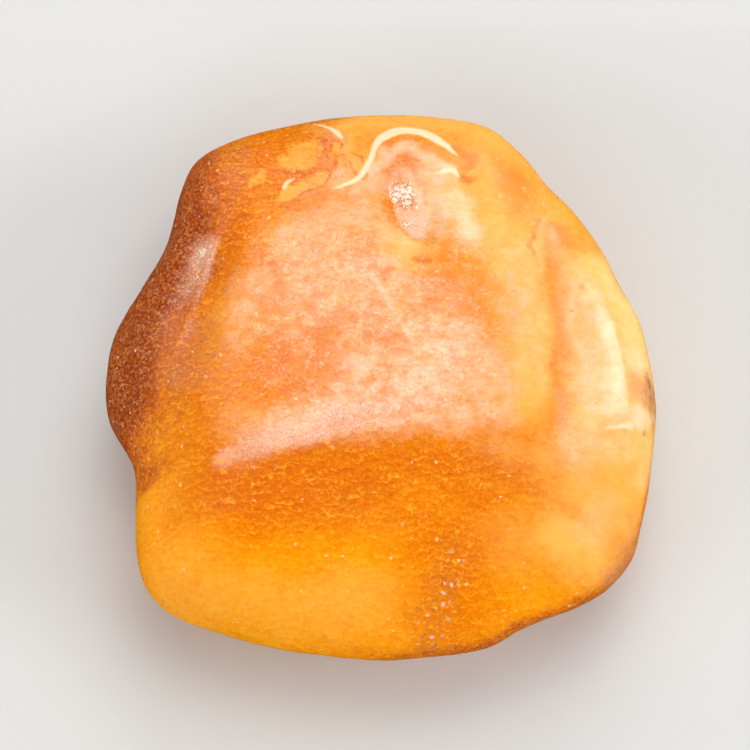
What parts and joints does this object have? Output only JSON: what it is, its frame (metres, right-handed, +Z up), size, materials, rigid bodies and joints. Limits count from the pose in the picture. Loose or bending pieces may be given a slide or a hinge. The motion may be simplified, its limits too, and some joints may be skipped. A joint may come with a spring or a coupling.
{
  "type": "raw amber nugget",
  "caption": "Flattened, water-worn nugget of opaque honey amber with a ridged upper side, a dimple and a ledge, lying on a small flat spot.",
  "frame": {"origin": "on the surface the nugget lies on, under the middle of its box", "axes": "+Z up out of the surface it lies on, +Y towards its far, thinner end, +X to the right of its steep near slope"},
  "size_m": [0.05, 0.0524, 0.0182],
  "materials": {
    "amber": "opaque honey amber with cream veins, a red-brown weathered side and a finely crazed, water-polished skin"
  },
  "bodies": {
    "root": {"amber_nugget": "amber"}
  },
  "joints": []
}
